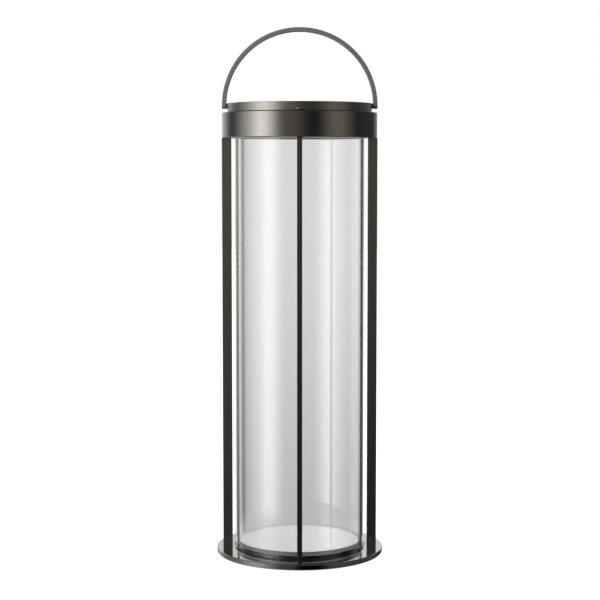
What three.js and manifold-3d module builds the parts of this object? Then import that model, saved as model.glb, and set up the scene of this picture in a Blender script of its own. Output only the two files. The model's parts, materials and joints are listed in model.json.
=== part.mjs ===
// A tall candle lantern: a round base plate, four flat upright bars, a top band with a raised collar,
// a folding bail handle, and a clear glass tube that stands round a small glass-topped candle platform.
// Millimetres, +Z up, origin on the standing surface under the middle of the base. -Y is the front.

import * as THREE from "three";
import { mergeVertices } from "three/addons/utils/BufferGeometryUtils.js";
import Module from "manifold-3d";

const wasm = await Module();
wasm.setup();

// ---------------------------------------------------------------- driving dimensions

const RING_SEGMENTS = 48;
const SMALL_SEGMENTS = 12;
const SOCKET_SIDES = 6;
const FIT_GAP = 0.3; // between pieces that are let into each other
const SCREW_GAP = 0.2; // round a screw in its hole
const FACE_GAP = 0.1; // between faces that lie against each other
const OVERCUT = 1; // how far a drill stands out of what it cuts
const WELD_DISTANCE = 1e-4; // points closer than this are one point

const FOOT_HEIGHT = 1.2;
const FOOT_RADIUS = 7;
const FOOT_EDGE = 0.6;
const FOOT_CIRCLE = 76;

const BASE_RADIUS = 91.2;
const BASE_THICKNESS = 6;
const BASE_TOP_CHAMFER = 0.5;
const BASE_LOWER_CHAMFER = 1;

const TUBE_RADIUS = 70;
const TUBE_WALL = 3;
const TUBE_HEIGHT = 467;
const TUBE_RIM_CHAMFER = 0.5;

const SEAT_GROOVE_INNER = 66.3;
const SEAT_GROOVE_OUTER = 72.6;
const SEAT_GROOVE_DEPTH = 1.5;
const FOOT_SEAL_INNER = 66.7;
const FOOT_SEAL_OUTER = 71.1;
const FOOT_SEAL_THICKNESS = 0.9;

const PLATFORM_RADIUS = 66;
const PLATFORM_THICKNESS = 3.6;
const PLATE_PAD_RADIUS = 2.5;
const PLATE_PAD_THICKNESS = 0.4;
const PLATE_PAD_CIRCLE = 58;
const GLASS_PLATE_RADIUS = 66.3;
const GLASS_PLATE_THICKNESS = 4;
const GLASS_PLATE_CHAMFER = 0.4;

const POST_INNER = 74.1;
const POST_OUTER = 84.4;
const POST_WIDTH = 5.4;
const POST_LENGTH = 448.6;

const BAND_RADIUS = 84;
const BAND_WALL = 4;
const BAND_HEIGHT = 27;
const BAND_TOP_CHAMFER = 0.2;
const BAND_LOWER_CHAMFER = 0.8;
const FLANGE_BORE = 71.8;
const FLANGE_THICKNESS = 4;

const COLLAR_RADIUS = 78.2;
const COLLAR_BORE = 75.2;
const COLLAR_RISE = 10; // how far it stands above the band
const COLLAR_CHAMFER = 0.4;
const COLLAR_GROOVE_HEIGHT = 0.6; // the dark line where the collar rises out of the band
const COLLAR_GROOVE_DEPTH = 0.5;

const GUIDE_SEAL_BORE = 70.4;
const GUIDE_SEAL_HANG = 0.8; // how far its skirt shows below the band
const GUIDE_SEAL_LIP_RADIUS = 73.6;
const GUIDE_SEAL_LIP_THICKNESS = 1;

const HANDLE_OUTER = 84.3;
const HANDLE_INNER = 79.4;
const HANDLE_WIDTH = 6.4;
const HANDLE_EDGE = 0.4;
const HANDLE_SEGMENTS = 32;
const PIVOT_ABOVE_BAND = 7.4;

const PIVOT_SHOULDER_RADIUS = 1.5;
const PIVOT_THREAD_RADIUS = 1.2;
const PIVOT_THREAD_REACH = 3.2; // how far the thread goes into the handle's arm
const PIVOT_HEAD_RADIUS = 2.5;
const PIVOT_HEAD_HEIGHT = 1.6;
const WASHER_RADIUS = 3;

const REST_STUD_HALF_WIDTH = 4.2;
const REST_STUD_HALF_HEIGHT = 2.15;
const REST_STUD_RISE = 2.4;
const REST_STUD_SHANK_RADIUS = 1.2;
const REST_STUD_ABOVE_BAND = 2.2;
const REST_STUD_STEPS = 3;

// countersunk socket screws
const M25 = { shank: 1.25, head: 2.4, cone: 1.3, socket: 0.9, socketDepth: 0.9 };
const M3 = { shank: 1.5, head: 2.8, cone: 1.5, socket: 1.15, socketDepth: 1 };
const M4 = { shank: 2, head: 3.8, cone: 2, socket: 1.45, socketDepth: 1.3 };
const POST_FOOT_SCREW_LENGTH = 16;
const POST_HEAD_SCREW_LENGTH = 12;
const POST_HEAD_SCREW_CIRCLE = 77;
const COLLAR_SCREW_LENGTH = 10;
const COLLAR_SCREW_CIRCLE = 77.45;
const PLATFORM_SCREW_LENGTH = 8.2;
const PLATFORM_SCREW_CIRCLE = 40;
const HEAD_RECESS = 0.1; // a screw's head lies this far below the face

// ---------------------------------------------------------------- levels and places worked out

const baseBottom = FOOT_HEIGHT;
const baseTop = baseBottom + BASE_THICKNESS;
const platformTop = baseTop + PLATFORM_THICKNESS;
const glassPlateBottom = platformTop + PLATE_PAD_THICKNESS;
const grooveFloor = baseTop - SEAT_GROOVE_DEPTH;
const tubeBottom = grooveFloor + FOOT_SEAL_THICKNESS;
const bandBottom = baseTop + POST_LENGTH;
const bandTop = bandBottom + BAND_HEIGHT;
const flangeTop = bandBottom + FLANGE_THICKNESS;
const bandBore = BAND_RADIUS - BAND_WALL;
const collarFoot = flangeTop + FIT_GAP;
const collarFootRadius = bandBore - FIT_GAP;
const collarTop = bandTop + COLLAR_RISE;
const pivotHeight = bandTop + PIVOT_ABOVE_BAND;
const studHeight = bandTop + REST_STUD_ABOVE_BAND;
const postCircle = (POST_INNER + POST_OUTER) / 2;

const quarter = Math.PI / 2;
const sides = { right: 0, back: quarter, left: 2 * quarter, front: 3 * quarter };
const diagonals = [0, 1, 2, 3].map((i) => quarter / 2 + i * quarter);
const thirds = [0, 1, 2].map((i) => sides.front + (i * 4 * quarter) / 3);

// ---------------------------------------------------------------- materials

const finish = (color, roughness, metalness) =>
  new THREE.MeshStandardMaterial({ color, roughness, metalness });

const gunmetal = () => finish(0x56524e, 0.32, 1);
const clearGlass = () => finish(0xe9eeec, 0.03, 0);
const greenEdgedGlass = () => finish(0xc9d4cf, 0.05, 0);
const silicone = () => finish(0x6f6f6d, 0.55, 0);
const footRubber = () => finish(0x242424, 0.8, 0);
const screwSteel = () => finish(0x3a3836, 0.35, 1);
const nylon = () => finish(0x2a2927, 0.5, 0);

// ---------------------------------------------------------------- shape helpers

const lantern = new THREE.Group();

function addPiece(name, geometry, material) {
  const mesh = new THREE.Mesh(geometry, material);
  mesh.name = name;
  lantern.add(mesh);
}

// A turned piece from (radius, height) points, outer side upwards and inner side downwards.
function turned(points, segments = RING_SEGMENTS) {
  const profile = points.map(([radius, height]) => new THREE.Vector2(radius, height));
  return new THREE.LatheGeometry(profile, segments).rotateX(quarter);
}

function turnedRing(points, segments = RING_SEGMENTS) {
  return turned([...points, points[0]], segments);
}

function rod(radius, bottom, top, segments = SMALL_SEGMENTS) {
  return turned([[0, bottom], [radius, bottom], [radius, top], [0, top]], segments);
}

function toSolid(geometry) {
  const bare = geometry.clone();
  bare.deleteAttribute("normal");
  bare.deleteAttribute("uv");
  const welded = mergeVertices(bare, WELD_DISTANCE);
  const vertProperties = new Float32Array(welded.attributes.position.array);
  const triVerts = new Uint32Array(welded.index.array);
  return new wasm.Manifold(new wasm.Mesh({ numProp: 3, vertProperties, triVerts }));
}

function toGeometry(solid) {
  const mesh = solid.getMesh();
  const geometry = new THREE.BufferGeometry();
  geometry.setAttribute("position", new THREE.BufferAttribute(mesh.vertProperties, 3));
  geometry.setIndex(new THREE.BufferAttribute(mesh.triVerts, 1));
  geometry.computeVertexNormals();
  return geometry;
}

function cut(geometry, tools) {
  let solid = toSolid(geometry);
  for (const tool of tools) {
    solid = solid.subtract(toSolid(tool));
  }
  return toGeometry(solid);
}

function join(first, second) {
  return toGeometry(toSolid(first).add(toSolid(second)));
}

// A point on a circle round the lantern's axis.
function around(circle, angle) {
  return [circle * Math.cos(angle), circle * Math.sin(angle)];
}

// Lays a tool that was made along +Z so that it points outwards from the axis at an angle and height.
function laidOutwards(geometry, angle, height) {
  return geometry.rotateY(quarter).rotateZ(angle).translate(0, 0, height);
}

// ---------------------------------------------------------------- screws and their holes

// Head down at z = 0, pointing up.
function countersunkScrew(size, length) {
  const body = turned(
    [[0, 0], [size.head, 0], [size.shank, size.cone], [size.shank, length], [0, length]],
    SMALL_SEGMENTS,
  );
  return cut(body, [rod(size.socket, -OVERCUT, size.socketDepth, SOCKET_SIDES)]);
}

// The hole for one such screw, open below its head, SCREW_GAP wider all round.
function screwHole(size, length) {
  const head = size.head + SCREW_GAP;
  const shank = size.shank + SCREW_GAP;
  const top = length + SCREW_GAP;
  return turned(
    [[0, -OVERCUT], [head, -OVERCUT], [head, 0], [shank, size.cone], [shank, top], [0, top]],
    SMALL_SEGMENTS,
  );
}

// Screws of one kind at several angles: up from a face, or down from it.
function screwSet({ size, length, circle, angles, face, down }) {
  const flip = down ? 2 * quarter : 0;
  const start = down ? face - HEAD_RECESS : face + HEAD_RECESS;
  const place = (geometry, angle) => {
    const [x, y] = around(circle, angle);
    return geometry.rotateX(flip).translate(x, y, start);
  };
  return {
    screws: angles.map((angle) => place(countersunkScrew(size, length), angle)),
    holes: angles.map((angle) => place(screwHole(size, length), angle)),
  };
}

const postFootScrews = screwSet({
  size: M3,
  length: POST_FOOT_SCREW_LENGTH,
  circle: postCircle,
  angles: Object.values(sides),
  face: baseBottom,
  down: false,
});

const postHeadScrews = screwSet({
  size: M3,
  length: POST_HEAD_SCREW_LENGTH,
  circle: POST_HEAD_SCREW_CIRCLE,
  angles: Object.values(sides),
  face: flangeTop,
  down: true,
});

const collarScrews = screwSet({
  size: M25,
  length: COLLAR_SCREW_LENGTH,
  circle: COLLAR_SCREW_CIRCLE,
  angles: diagonals,
  face: bandBottom,
  down: false,
});

const platformScrews = screwSet({
  size: M4,
  length: PLATFORM_SCREW_LENGTH,
  circle: PLATFORM_SCREW_CIRCLE,
  angles: thirds,
  face: baseBottom,
  down: false,
});

// ---------------------------------------------------------------- base

function basePlate() {
  const plate = turned([
    [0, baseBottom],
    [BASE_RADIUS - BASE_LOWER_CHAMFER, baseBottom],
    [BASE_RADIUS, baseBottom + BASE_LOWER_CHAMFER],
    [BASE_RADIUS, baseTop - BASE_TOP_CHAMFER],
    [BASE_RADIUS - BASE_TOP_CHAMFER, baseTop],
    [SEAT_GROOVE_OUTER, baseTop],
    [SEAT_GROOVE_OUTER, grooveFloor],
    [SEAT_GROOVE_INNER, grooveFloor],
    [SEAT_GROOVE_INNER, baseTop],
    [0, baseTop],
  ]);
  return cut(plate, [...postFootScrews.holes, ...platformScrews.holes]);
}

function candlePlatform() {
  const chamfer = BASE_TOP_CHAMFER;
  const disc = turned([
    [0, baseTop],
    [PLATFORM_RADIUS, baseTop],
    [PLATFORM_RADIUS, platformTop - chamfer],
    [PLATFORM_RADIUS - chamfer, platformTop],
    [0, platformTop],
  ]);
  return cut(disc, platformScrews.holes);
}

function foot([x, y]) {
  const disc = turned(
    [
      [0, 0],
      [FOOT_RADIUS - FOOT_EDGE, 0],
      [FOOT_RADIUS, FOOT_EDGE],
      [FOOT_RADIUS, FOOT_HEIGHT],
      [0, FOOT_HEIGHT],
    ],
    SMALL_SEGMENTS,
  );
  return disc.translate(x, y, 0);
}

// ---------------------------------------------------------------- glass

function glassTube() {
  const inner = TUBE_RADIUS - TUBE_WALL;
  const top = tubeBottom + TUBE_HEIGHT;
  const edge = TUBE_RIM_CHAMFER;
  return turnedRing([
    [inner + edge, tubeBottom],
    [TUBE_RADIUS - edge, tubeBottom],
    [TUBE_RADIUS, tubeBottom + edge],
    [TUBE_RADIUS, top - edge],
    [TUBE_RADIUS - edge, top],
    [inner + edge, top],
    [inner, top - edge],
    [inner, tubeBottom + edge],
  ]);
}

function glassPlate() {
  const edge = GLASS_PLATE_CHAMFER;
  const top = glassPlateBottom + GLASS_PLATE_THICKNESS;
  return turned([
    [0, glassPlateBottom],
    [GLASS_PLATE_RADIUS - edge, glassPlateBottom],
    [GLASS_PLATE_RADIUS, glassPlateBottom + edge],
    [GLASS_PLATE_RADIUS, top - edge],
    [GLASS_PLATE_RADIUS - edge, top],
    [0, top],
  ]);
}

function footSeal() {
  return turnedRing([
    [FOOT_SEAL_INNER, grooveFloor],
    [FOOT_SEAL_OUTER, grooveFloor],
    [FOOT_SEAL_OUTER, tubeBottom],
    [FOOT_SEAL_INNER, tubeBottom],
  ]);
}

// An L-section ring that hangs in the flange's bore, its skirt showing below the band.
function guideSeal() {
  const skirt = FLANGE_BORE - FIT_GAP;
  const lipBottom = flangeTop + FIT_GAP;
  const lipTop = lipBottom + GUIDE_SEAL_LIP_THICKNESS;
  return turnedRing([
    [GUIDE_SEAL_BORE, bandBottom - GUIDE_SEAL_HANG],
    [skirt, bandBottom - GUIDE_SEAL_HANG],
    [skirt, lipBottom],
    [GUIDE_SEAL_LIP_RADIUS, lipBottom],
    [GUIDE_SEAL_LIP_RADIUS, lipTop],
    [GUIDE_SEAL_BORE, lipTop],
  ]);
}

// ---------------------------------------------------------------- posts, band and collar

function post(angle, holes) {
  const bar = new THREE.BoxGeometry(POST_OUTER - POST_INNER, POST_WIDTH, POST_LENGTH);
  bar.translate(postCircle, 0, baseTop + POST_LENGTH / 2).rotateZ(angle);
  return cut(bar, holes);
}

// An L-section ring: the upright wall that shows, and a flange inwards at its foot.
function topBand() {
  const ring = turnedRing([
    [FLANGE_BORE, bandBottom],
    [BAND_RADIUS - BAND_LOWER_CHAMFER, bandBottom],
    [BAND_RADIUS, bandBottom + BAND_LOWER_CHAMFER],
    [BAND_RADIUS, bandTop - BAND_TOP_CHAMFER],
    [BAND_RADIUS - BAND_TOP_CHAMFER, bandTop],
    [bandBore, bandTop],
    [bandBore, flangeTop],
    [FLANGE_BORE, flangeTop],
  ]);
  return cut(ring, [...postHeadScrews.holes, ...collarScrews.holes]);
}

// A turned ring, thicker where it is let into the band, with a fine groove just above the band and
// holes for the pivots and rest studs.
function collar() {
  const grooveRadius = COLLAR_RADIUS - COLLAR_GROOVE_DEPTH;
  const grooveTop = bandTop + COLLAR_GROOVE_HEIGHT;
  const ring = turnedRing([
    [COLLAR_BORE, collarFoot],
    [collarFootRadius, collarFoot],
    [collarFootRadius, bandTop],
    [grooveRadius, bandTop],
    [grooveRadius, grooveTop],
    [COLLAR_RADIUS, grooveTop],
    [COLLAR_RADIUS, collarTop - COLLAR_CHAMFER],
    [COLLAR_RADIUS - COLLAR_CHAMFER, collarTop],
    [COLLAR_BORE + COLLAR_CHAMFER, collarTop],
    [COLLAR_BORE, collarTop - COLLAR_CHAMFER],
  ]);
  const wallHole = (radius, angle, height) => {
    const drill = rod(radius + SCREW_GAP, COLLAR_BORE - OVERCUT, COLLAR_RADIUS + OVERCUT);
    return laidOutwards(drill, angle, height);
  };
  return cut(ring, [
    wallHole(PIVOT_SHOULDER_RADIUS, sides.left, pivotHeight),
    wallHole(PIVOT_SHOULDER_RADIUS, sides.right, pivotHeight),
    wallHole(REST_STUD_SHANK_RADIUS, sides.front, studHeight),
    wallHole(REST_STUD_SHANK_RADIUS, sides.back, studHeight),
    ...collarScrews.holes,
  ]);
}

// ---------------------------------------------------------------- handle and what it turns and rests on

// A half-round arch of flat bar whose arms end in half-rounds about the pivot.
function handle() {
  const halfWidth = HANDLE_WIDTH / 2;
  const outline = new THREE.Shape();
  outline.moveTo(HANDLE_OUTER - HANDLE_EDGE, -halfWidth);
  outline.lineTo(HANDLE_OUTER - HANDLE_EDGE, 0);
  outline.absarc(0, 0, HANDLE_OUTER - HANDLE_EDGE, 0, Math.PI, false);
  outline.lineTo(-HANDLE_OUTER + HANDLE_EDGE, -halfWidth);
  outline.lineTo(-HANDLE_INNER - HANDLE_EDGE, -halfWidth);
  outline.absarc(0, 0, HANDLE_INNER + HANDLE_EDGE, Math.PI, 0, true);
  outline.lineTo(HANDLE_INNER + HANDLE_EDGE, -halfWidth);
  const bar = new THREE.ExtrudeGeometry(outline, {
    depth: HANDLE_WIDTH - 2 * HANDLE_EDGE,
    curveSegments: HANDLE_SEGMENTS,
    bevelEnabled: true,
    bevelThickness: HANDLE_EDGE,
    bevelSize: HANDLE_EDGE,
    bevelSegments: 1,
  });
  bar.translate(0, 0, HANDLE_EDGE - halfWidth).rotateX(quarter);

  const reach = 2 * HANDLE_OUTER;
  const abovePivot = new THREE.BoxGeometry(2 * reach, 2 * HANDLE_WIDTH, reach);
  abovePivot.translate(0, 0, reach / 2);
  const endRounds = rod(halfWidth, -reach, reach, 2 * SMALL_SEGMENTS).rotateY(quarter);
  const limits = toSolid(abovePivot).add(toSolid(endRounds));
  const arch = toGeometry(toSolid(bar).intersect(limits)).translate(0, 0, pivotHeight);

  const threadHole = (angle) => {
    const depth = HANDLE_INNER + PIVOT_THREAD_REACH + SCREW_GAP;
    const drill = rod(PIVOT_THREAD_RADIUS + SCREW_GAP, HANDLE_INNER - OVERCUT, depth);
    return laidOutwards(drill, angle, pivotHeight);
  };
  return cut(arch, [threadHole(sides.left), threadHole(sides.right)]);
}

// A shoulder screw from inside the collar, threaded into the handle's arm.
function pivotScrew(angle) {
  const headFace = COLLAR_BORE - FIT_GAP;
  const shoulderEnd = HANDLE_INNER - FIT_GAP;
  const body = turned(
    [
      [0, headFace - PIVOT_HEAD_HEIGHT],
      [PIVOT_HEAD_RADIUS, headFace - PIVOT_HEAD_HEIGHT],
      [PIVOT_HEAD_RADIUS, headFace],
      [PIVOT_SHOULDER_RADIUS, headFace],
      [PIVOT_SHOULDER_RADIUS, shoulderEnd],
      [PIVOT_THREAD_RADIUS, shoulderEnd],
      [PIVOT_THREAD_RADIUS, HANDLE_INNER + PIVOT_THREAD_REACH],
      [0, HANDLE_INNER + PIVOT_THREAD_REACH],
    ],
    SMALL_SEGMENTS,
  );
  return laidOutwards(body, angle, pivotHeight);
}

function pivotWasher(angle) {
  const bore = PIVOT_SHOULDER_RADIUS + SCREW_GAP;
  const innerFace = COLLAR_RADIUS + FACE_GAP;
  const outerFace = HANDLE_INNER - FACE_GAP;
  const ring = turnedRing(
    [[bore, innerFace], [WASHER_RADIUS, innerFace], [WASHER_RADIUS, outerFace], [bore, outerFace]],
    SMALL_SEGMENTS,
  );
  return laidOutwards(ring, angle, pivotHeight);
}

// An oval dome on a shank through the collar: the folded handle lies on it.
function restStud(angle) {
  const seat = COLLAR_RADIUS + FACE_GAP;
  const profile = [[0, 0]];
  for (let step = 0; step <= REST_STUD_STEPS; step += 1) {
    profile.push(around(REST_STUD_RISE, (step / REST_STUD_STEPS) * quarter));
  }
  const dome = turned(profile, SMALL_SEGMENTS);
  const widen = REST_STUD_HALF_WIDTH / REST_STUD_RISE;
  const flatten = REST_STUD_HALF_HEIGHT / REST_STUD_RISE;
  dome.scale(flatten, widen, 1).translate(0, 0, seat);
  const shank = rod(REST_STUD_SHANK_RADIUS, COLLAR_BORE - FIT_GAP, seat + REST_STUD_RISE / 2);
  return laidOutwards(join(dome, shank), angle, studHeight);
}

// ---------------------------------------------------------------- assembly

addPiece("base_plate", basePlate(), gunmetal());
addPiece("candle_platform", candlePlatform(), gunmetal());
addPiece("foot_seal", footSeal(), silicone());
addPiece("glass_cylinder", glassTube(), clearGlass());
addPiece("glass_plate", glassPlate(), greenEdgedGlass());

thirds.forEach((angle, i) => {
  const [x, y] = around(PLATE_PAD_CIRCLE, angle);
  const pad = rod(PLATE_PAD_RADIUS, platformTop, glassPlateBottom).translate(x, y, 0);
  addPiece(`plate_pad_${i + 1}`, pad, silicone());
  addPiece(`platform_screw_${i + 1}`, platformScrews.screws[i], screwSteel());
});

Object.entries(sides).forEach(([side, angle], i) => {
  const holes = [postFootScrews.holes[i], postHeadScrews.holes[i]];
  addPiece(`post_${side}`, post(angle, holes), gunmetal());
  addPiece(`post_foot_screw_${side}`, postFootScrews.screws[i], screwSteel());
  addPiece(`post_head_screw_${side}`, postHeadScrews.screws[i], screwSteel());
});

addPiece("top_band", topBand(), gunmetal());
addPiece("collar", collar(), gunmetal());
addPiece("guide_seal", guideSeal(), silicone());
addPiece("handle", handle(), gunmetal());

diagonals.forEach((angle, i) => {
  addPiece(`collar_screw_${i + 1}`, collarScrews.screws[i], screwSteel());
  addPiece(`foot_${i + 1}`, foot(around(FOOT_CIRCLE, angle)), footRubber());
});

for (const side of ["left", "right"]) {
  addPiece(`pivot_screw_${side}`, pivotScrew(sides[side]), screwSteel());
  addPiece(`pivot_washer_${side}`, pivotWasher(sides[side]), nylon());
}

for (const side of ["front", "back"]) {
  addPiece(`rest_stud_${side}`, restStud(sides[side]), gunmetal());
}

export default lantern;
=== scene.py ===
"""Candle lantern: a tall floor lantern with a clear glass tube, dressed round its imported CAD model.

Metres, +Z up, origin on the standing surface under the middle of the base. -Y is the front.
"""

import json
import math
from functools import partial
from typing import NamedTuple

import bmesh
import bpy
from bpy.props import FloatProperty, FloatVectorProperty, PointerProperty
from mathutils import Matrix, Vector

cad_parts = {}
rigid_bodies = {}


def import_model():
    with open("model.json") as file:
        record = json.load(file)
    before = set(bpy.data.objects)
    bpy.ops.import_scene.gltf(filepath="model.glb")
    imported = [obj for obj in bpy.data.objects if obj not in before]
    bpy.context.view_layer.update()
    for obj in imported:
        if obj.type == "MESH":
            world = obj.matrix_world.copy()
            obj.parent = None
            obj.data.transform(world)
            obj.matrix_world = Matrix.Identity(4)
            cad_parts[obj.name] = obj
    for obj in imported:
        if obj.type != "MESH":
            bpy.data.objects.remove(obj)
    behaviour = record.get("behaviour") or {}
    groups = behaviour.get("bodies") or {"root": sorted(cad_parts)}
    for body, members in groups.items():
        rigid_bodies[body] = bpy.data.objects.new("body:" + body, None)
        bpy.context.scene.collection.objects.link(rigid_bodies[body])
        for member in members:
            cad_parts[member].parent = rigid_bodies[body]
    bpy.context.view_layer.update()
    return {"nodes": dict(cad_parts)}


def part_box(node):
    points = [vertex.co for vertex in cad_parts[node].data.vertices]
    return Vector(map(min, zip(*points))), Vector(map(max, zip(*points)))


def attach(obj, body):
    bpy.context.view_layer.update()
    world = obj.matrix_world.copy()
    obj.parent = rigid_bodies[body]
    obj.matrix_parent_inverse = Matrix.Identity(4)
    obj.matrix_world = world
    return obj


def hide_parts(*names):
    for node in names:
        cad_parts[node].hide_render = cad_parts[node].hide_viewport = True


bl_info = {
    "name": "Candle Lantern",
    "version": (1, 0, 0),
    "blender": (4, 5, 0),
    "location": "3D View > Sidebar > Lantern",
    "description": "Makes the pieces, finishes and studio of a tall glass and gunmetal lantern",
    "category": "Add Mesh",
}

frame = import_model()

MM = 0.001
RING_STEPS = 256  # chords round a large ring, fine enough for a smooth outline
SMALL_STEPS = 48  # chords round a screw, foot or washer
ROUND_STEPS = 4  # chords in a rounded edge
ARCH_STEPS = 120  # chords along the bail
SMOOTH_LIMIT = math.radians(40)  # edges sharper than this stay crisp
QUARTER = math.pi / 2
SIDES = {"right": 0, "back": QUARTER, "left": 2 * QUARTER, "front": 3 * QUARTER}


# ---- colours and settings ----


def linear(hex_colour):
    """A linear colour with full alpha from an sRGB hex value."""
    channels = [int(hex_colour[place : place + 2], 16) / 255 for place in (1, 3, 5)]
    curved = [c / 12.92 if c <= 0.04045 else ((c + 0.055) / 1.055) ** 2.4 for c in channels]
    return (*curved, 1.0)


def length(name, description, millimetres):
    return FloatProperty(
        name=name,
        description=description,
        default=millimetres * MM,
        min=0,
        precision=5,
        subtype="DISTANCE",
        unit="LENGTH",
    )


def swatch(name, description, hex_colour):
    return FloatVectorProperty(
        name=name,
        description=description,
        default=linear(hex_colour),
        size=4,
        min=0,
        max=1,
        subtype="COLOR",
    )


def amount(name, description, default):
    return FloatProperty(name=name, description=description, default=default, min=0)


class LanternSizes(bpy.types.PropertyGroup):
    """Sizes of the pieces that their places in the CAD model don't give."""

    turned_edge: length("Turned edge", "Rounding of the edges of turned metal", 0.25)
    base_top_chamfer: length("Base top chamfer", "Bevel round the top of the base", 0.5)
    base_lower_chamfer: length("Base lower chamfer", "Bevel round the underside of the base", 1)
    groove_margin: length("Groove margin", "Metal groove outside the foot seal", 1.5)
    fit_gap: length("Fit gap", "Room between pieces let into each other", 0.3)
    tube_wall: length("Tube wall", "Wall of the drawn glass tube", 3)
    plate_edge: length("Plate edge", "Ground bevel of the glass plate", 0.5)
    upright_edge: length("Upright edge", "Rounding along the flat bars", 0.2)
    band_wall: length("Band wall", "Thickness of the top band", 4)
    band_top_chamfer: length("Band top chamfer", "Bevel round the top of the band", 0.2)
    band_lower_chamfer: length("Band lower chamfer", "Bevel round the foot of the band", 0.8)
    collar_wall: length("Collar wall", "Thickness of the collar above the band", 3)
    collar_step: length("Collar step", "How far the collar's foot stands out inside the band", 1.5)
    collar_groove_height: length("Collar groove height", "Sloping groove just above the band", 0.9)
    collar_groove_depth: length("Collar groove depth", "How deep that groove is turned", 0.9)
    seal_lip: length("Seal lip", "How far the guide seal's lip covers the flange", 2.1)
    seal_lip_height: length("Seal lip height", "Thickness of the guide seal's lip", 1)
    bail_thickness: length("Bail thickness", "The bail's bar, measured from the arch's middle", 4.9)
    bail_edge: length("Bail edge", "Rounding along the bail", 0.5)
    pivot_shoulder: length("Pivot shoulder", "Radius that the bail turns on", 1.5)
    pivot_thread: length("Pivot thread", "Radius of the pivot screw's thread", 1.2)
    pivot_head_height: length("Pivot head height", "Height of the pivot screw's head", 1.6)
    stud_shank: length("Stud shank", "Radius of a rest stud's shank", 1.2)


class LanternFinishes(bpy.types.PropertyGroup):
    """Colours of the finishes."""

    gunmetal: swatch("Gunmetal", "Plated steel of the base, uprights and rings", "#7a7774")
    gunmetal_worn: swatch("Gunmetal, lighter", "Where the plating is brushed thinner", "#7f7c79")
    gunmetal_matt: swatch("Matt gunmetal", "Coarser brushed plating of the collar and studs", "#83807c")
    gunmetal_matt_worn: swatch("Matt gunmetal, lighter", "Where that is brushed thinner", "#898682")
    # the next two swatches are painted shade and painted light on the uprights: narrow faces darker, broad
    # faces lighter
    gunmetal_narrow_shaded: swatch("Gunmetal, narrow faces", "Narrow faces of the uprights", "#696764")
    gunmetal_broad_lit: swatch("Gunmetal, broad faces", "Broad faces of the uprights", "#94918d")
    bail_metal: swatch("Bail", "Bead-blasted and plated bar", "#c1bfb9")
    bail_worn: swatch("Bail, lighter", "Where hands have polished the bail", "#c6c4be")
    tube_glass: swatch("Tube glass", "Clear drawn glass", "#fdfdfd")
    plate_glass: swatch("Plate glass", "Face of the float glass", "#fbfcfb")
    plate_edge_glass: swatch("Ground glass", "Ground edge of the glass plate", "#dde6e1")
    plate_green: swatch("Plate glass edge", "Colour that a long way through float glass takes on", "#c4e8d6")
    silicone: swatch("Dark silicone", "Seal under the tube", "#2e2d2c")
    pale_silicone: swatch("Pale silicone", "Guide seal round the tube's top", "#b4b4b1")
    pad: swatch("Pads", "Clear silicone pads", "#f6f8f7")
    rubber: swatch("Rubber", "Black rubber feet", "#1f1f1e")
    # the platform's upright side is coloured near black: painted shade
    side_shade: swatch("Painted shade on the side", "Painted shade on the side of the candle platform", "#2c2b2a")
    screw: swatch("Screws", "Blackened steel", "#4a4846")
    nylon: swatch("Nylon", "Black nylon washers", "#252423")
    floor: swatch("Floor", "Pale painted studio floor", "#fafaf9")
    floor_worn: swatch("Floor, duller", "Where the floor's paint is duller", "#f5f5f4")


class LanternStudio(bpy.types.PropertyGroup):
    """The camera's place and the strength of the light."""

    camera_distance: length("Camera distance", "From the lantern's axis to the camera", 1734.8)
    camera_aside: length("Camera aside", "How far the camera stands to the right of the axis", 0.4)
    camera_height: length("Camera height", "Above the floor", 431.7)
    aim_height: length("Aim height", "Height on the lantern's axis that the camera looks at", 279.3)
    focal_length: amount("Focal length", "Camera lens in millimetres", 95.48)
    light: amount("Light", "Strength of the whole studio", 1.0)
    floor_glow: amount("Floor glow", "How far the floor is lit to white", 1.0)


# ---- the frame's places ----


def reach(node):
    """Outer radius of a node that is centred on the lantern's axis."""
    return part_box(node)[1].x


def levels(node):
    """Lowest and highest height of a node."""
    low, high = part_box(node)
    return low.z, high.z


def middle(node):
    """The middle of a node's box."""
    low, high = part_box(node)
    return (low + high) / 2


def radius_and_height(node):
    """The radius and height of a small round node that stands upright."""
    low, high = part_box(node)
    return (high.y - low.y) / 2, high.z - low.z


def standing(node):
    """The matrix that stands what was made upwards from z = 0 in a node's place."""
    return Matrix.Translation((*middle(node).xy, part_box(node)[0].z))


def outwards(side, node):
    """The matrix that lays what was made along +Z outwards on a side, at the height of a node."""
    height = Matrix.Translation((0, 0, middle(node).z))
    return height @ Matrix.Rotation(SIDES[side], 4, "Z") @ Matrix.Rotation(QUARTER, 4, "Y")


def numbered(stem):
    """Nodes whose names start with the stem, in order."""
    return sorted(name for name in frame["nodes"] if name.startswith(stem))


def body_of(node):
    """The body that a node moves with."""
    return frame["nodes"][node].parent.name.removeprefix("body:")


# ---- mesh making ----


def rounded(corners):
    """Points of an outline through (across, up, rounding) corners, the roundings as short chords."""
    points = []
    for index, (across, up, rounding) in enumerate(corners):
        corner = Vector((across, up))
        if rounding == 0:
            points.append(corner)
            continue
        before = (Vector(corners[index - 1][:2]) - corner).normalized()
        after = (Vector(corners[(index + 1) % len(corners)][:2]) - corner).normalized()
        half = before.angle(after) / 2
        centre = corner + (before + after).normalized() * rounding / math.sin(half)
        run = rounding / math.tan(half)
        start = (corner + before * run - centre).normalized()
        end = (corner + after * run - centre).normalized()
        for step in range(ROUND_STEPS + 1):
            points.append(centre + start.slerp(end, step / ROUND_STEPS) * rounding)
    return points


def shade(mesh):
    """Shades a mesh smooth, apart from its sharp edges."""
    mesh.shade_smooth()
    mesh.set_sharp_from_angle(angle=SMOOTH_LIMIT)


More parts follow.
